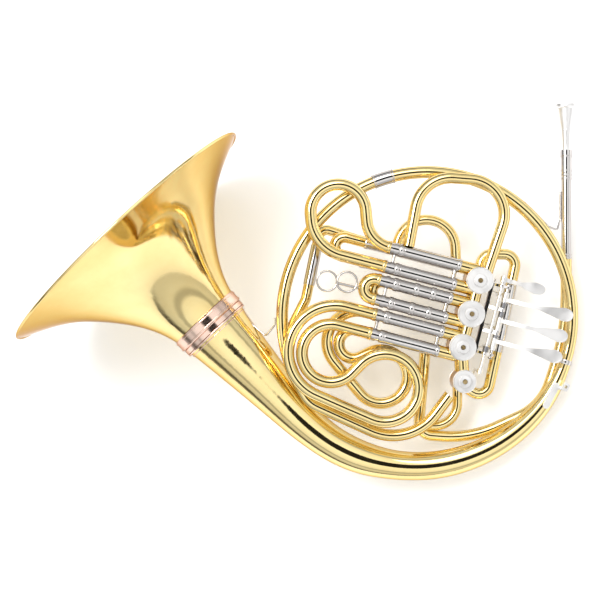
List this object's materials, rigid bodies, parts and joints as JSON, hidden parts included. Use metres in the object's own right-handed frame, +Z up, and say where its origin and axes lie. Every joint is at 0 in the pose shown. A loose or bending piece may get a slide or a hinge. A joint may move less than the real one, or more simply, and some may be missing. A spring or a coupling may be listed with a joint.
{
  "type": "french horn",
  "caption": "French horn lying on its bell rim: flared bell, tapered tail, coiled tubes, rotary valves with finger and thumb levers, pull-out tuning slides and a mouthpiece.",
  "frame": {"origin": "middle of the bounding box footprint, on the surface the horn lies on", "axes": "+X from the bell towards the mouthpiece side, +Z up; the ring plane is tipped about 18 degrees from level"},
  "size_m": [0.5941, 0.401, 0.3059],
  "materials": {
    "yellow_brass": "polished and lacquered",
    "nickel_silver": "polished nickel silver",
    "silver_plate": "silver plated",
    "rose_brass": "polished rose brass",
    "lever_nickel": "polished nickel silver",
    "rotor_brass": "machined",
    "spring_steel": "drawn wire",
    "bumper_rubber": "matt"
  },
  "bodies": {
    "horn": {"arch_crook": "yellow_brass", "back_slide_sleeves": "nickel_silver", "bearing_plates": "rotor_brass", "bell_brace": "nickel_silver", "bell_tail": "yellow_brass", "branch_tube": "yellow_brass", "change_valve_casing": "yellow_brass", "change_valve_crook": "yellow_brass", "crook_sleeves": "nickel_silver", "deep_crook": "yellow_brass", "front_slide_sleeves": "nickel_silver", "leadpipe": "nickel_silver", "leadpipe_brace": "nickel_silver", "leadpipe_crook": "yellow_brass", "lever_axle": "nickel_silver", "lever_bracket": "nickel_silver", "lever_springs": "spring_steel", "lyre_holder": "nickel_silver", "mouthpiece_receiver": "nickel_silver", "right_crook": "yellow_brass", "ring_ferrule": "nickel_silver", "ring_tube": "yellow_brass", "sleeve_braces": "nickel_silver", "small_arch_crook": "yellow_brass", "stop_bumpers": "bumper_rubber", "tail_screw_collar": "rose_brass", "valve_1_casing": "yellow_brass", "valve_2_casing": "yellow_brass", "valve_3_casing": "yellow_brass", "valve_caps": "nickel_silver", "valve_crossovers": "yellow_brass"},
    "bell": {"bell_flare": "yellow_brass", "bell_rim_wire": "yellow_brass", "bell_screw_ring": "rose_brass"},
    "mouthpiece": {"mouthpiece": "silver_plate"},
    "front_slide_1": {"front_slide_1_bow": "yellow_brass", "front_slide_1_legs": "nickel_silver"},
    "front_slide_2": {"front_slide_2_bow": "yellow_brass", "front_slide_2_legs": "nickel_silver", "pull_rings": "nickel_silver"},
    "front_slide_3": {"front_slide_3_bow": "yellow_brass", "front_slide_3_legs": "nickel_silver"},
    "back_slide_1": {"back_slide_1": "yellow_brass"},
    "back_slide_2": {"back_slide_2": "yellow_brass"},
    "back_slide_3": {"back_slide_3": "yellow_brass"},
    "finger_lever_1": {"finger_lever_1": "lever_nickel"},
    "finger_lever_2": {"finger_lever_2": "lever_nickel"},
    "finger_lever_3": {"finger_lever_3": "lever_nickel"},
    "thumb_lever": {"thumb_lever": "lever_nickel", "thumb_shaft": "lever_nickel", "thumb_crank": "lever_nickel"},
    "valve_1_rotor": {"valve_1_rotor": "rotor_brass"},
    "valve_2_rotor": {"valve_2_rotor": "rotor_brass"},
    "valve_3_rotor": {"valve_3_rotor": "rotor_brass"},
    "change_valve_rotor": {"change_valve_rotor": "rotor_brass"},
    "link_rod_1": {"link_rod_1": "lever_nickel"},
    "link_rod_2": {"link_rod_2": "lever_nickel"},
    "link_rod_3": {"link_rod_3": "lever_nickel"},
    "link_rod_change": {"link_rod_change": "lever_nickel"}
  },
  "joints": [
    {"name": "bell_off", "type": "slide", "parent": "horn", "child": "bell", "axis": [-0.631, 0.7179, 0.2941], "range_m": [0, 0.04]},
    {"name": "mouthpiece_out", "type": "slide", "parent": "horn", "child": "mouthpiece", "axis": [0.0405, 0.9896, 0.1378], "range_m": [0, 0.03]},
    {"name": "front_slide_1_pull", "type": "slide", "parent": "horn", "child": "front_slide_1", "axis": [-0.9187, 0.2478, 0.3076], "range_m": [0, 0.04]},
    {"name": "front_slide_2_pull", "type": "slide", "parent": "horn", "child": "front_slide_2", "axis": [-0.9187, 0.2478, 0.3076], "range_m": [0, 0.035]},
    {"name": "front_slide_3_pull", "type": "slide", "parent": "horn", "child": "front_slide_3", "axis": [-0.9187, 0.2478, 0.3076], "range_m": [0, 0.012]},
    {"name": "back_slide_1_pull", "type": "slide", "parent": "horn", "child": "back_slide_1", "axis": [-0.9187, 0.2478, 0.3076], "range_m": [0, 0.017]},
    {"name": "back_slide_2_pull", "type": "slide", "parent": "horn", "child": "back_slide_2", "axis": [-0.9187, 0.2478, 0.3076], "range_m": [0, 0.03]},
    {"name": "back_slide_3_pull", "type": "slide", "parent": "horn", "child": "back_slide_3", "axis": [-0.9187, 0.2478, 0.3076], "range_m": [0, 0.012]},
    {"name": "finger_lever_1_press", "type": "hinge", "parent": "horn", "child": "finger_lever_1", "pos_m": [0.21792, -0.01297, 0.06096], "axis": [0.2794, 0.9581, 0.0627], "range_deg": [0, 12], "stiffness_Nm_per_rad": 0.4, "springref_deg": -11.46},
    {"name": "finger_lever_2_press", "type": "hinge", "parent": "horn", "child": "finger_lever_2", "pos_m": [0.21163, -0.03453, 0.05954], "axis": [0.2794, 0.9581, 0.0627], "range_deg": [0, 12], "stiffness_Nm_per_rad": 0.4, "springref_deg": -11.46},
    {"name": "finger_lever_3_press", "type": "hinge", "parent": "horn", "child": "finger_lever_3", "pos_m": [0.2054, -0.05589, 0.05815], "axis": [0.2794, 0.9581, 0.0627], "range_deg": [0, 12], "stiffness_Nm_per_rad": 0.4, "springref_deg": -11.46},
    {"name": "thumb_lever_press", "type": "hinge", "parent": "horn", "child": "thumb_lever", "pos_m": [0.20604, -0.0344, 0.06647], "axis": [0.2794, 0.9581, 0.0627], "range_deg": [0, 12], "stiffness_Nm_per_rad": 0.4, "springref_deg": -11.46},
    {"name": "valve_1_turn", "type": "hinge", "parent": "horn", "child": "valve_1_rotor", "pos_m": [0.18885, 0.00861, 0.06013], "axis": [0.2792, -0.1436, 0.9494], "range_deg": [-90, 0]},
    {"name": "valve_2_turn", "type": "hinge", "parent": "horn", "child": "valve_2_rotor", "pos_m": [0.17879, -0.02588, 0.05787], "axis": [0.2792, -0.1436, 0.9494], "range_deg": [-90, 0]},
    {"name": "valve_3_turn", "type": "hinge", "parent": "horn", "child": "valve_3_rotor", "pos_m": [0.16873, -0.06038, 0.05561], "axis": [0.2792, -0.1436, 0.9494], "range_deg": [0, 90]},
    {"name": "change_valve_turn", "type": "hinge", "parent": "horn", "child": "change_valve_rotor", "pos_m": [0.16912, -0.09575, 0.05015], "axis": [0.2792, -0.1436, 0.9494], "range_deg": [0, 90]},
    {"name": "link_rod_1_swing", "type": "hinge", "parent": "finger_lever_1", "child": "link_rod_1", "pos_m": [0.20445, 0.00114, 0.02334], "axis": [0.2794, 0.9581, 0.0627], "range_deg": [-12, 0]},
    {"name": "link_rod_2_swing", "type": "hinge", "parent": "finger_lever_2", "child": "link_rod_2", "pos_m": [0.19439, -0.03335, 0.02108], "axis": [0.2794, 0.9581, 0.0627], "range_deg": [-12, 0]},
    {"name": "link_rod_3_swing", "type": "hinge", "parent": "finger_lever_3", "child": "link_rod_3", "pos_m": [0.18718, -0.05807, 0.01946], "axis": [0.2794, 0.9581, 0.0627], "range_deg": [-12, 0]},
    {"name": "link_rod_change_swing", "type": "hinge", "parent": "thumb_lever", "child": "link_rod_change", "pos_m": [0.17509, -0.08933, 0.01829], "axis": [0.2794, 0.9581, 0.0627], "range_deg": [-12, 0]}
  ],
  "couplings": [
    {"joint": "valve_1_turn", "follows": "finger_lever_1_press", "ratio": -7.5},
    {"joint": "valve_2_turn", "follows": "finger_lever_2_press", "ratio": -7.5},
    {"joint": "valve_3_turn", "follows": "finger_lever_3_press", "ratio": 7.5},
    {"joint": "change_valve_turn", "follows": "thumb_lever_press", "ratio": 7.5},
    {"joint": "link_rod_1_swing", "follows": "finger_lever_1_press", "ratio": -1},
    {"joint": "link_rod_2_swing", "follows": "finger_lever_2_press", "ratio": -1},
    {"joint": "link_rod_3_swing", "follows": "finger_lever_3_press", "ratio": -1},
    {"joint": "link_rod_change_swing", "follows": "thumb_lever_press", "ratio": -1}
  ]
}
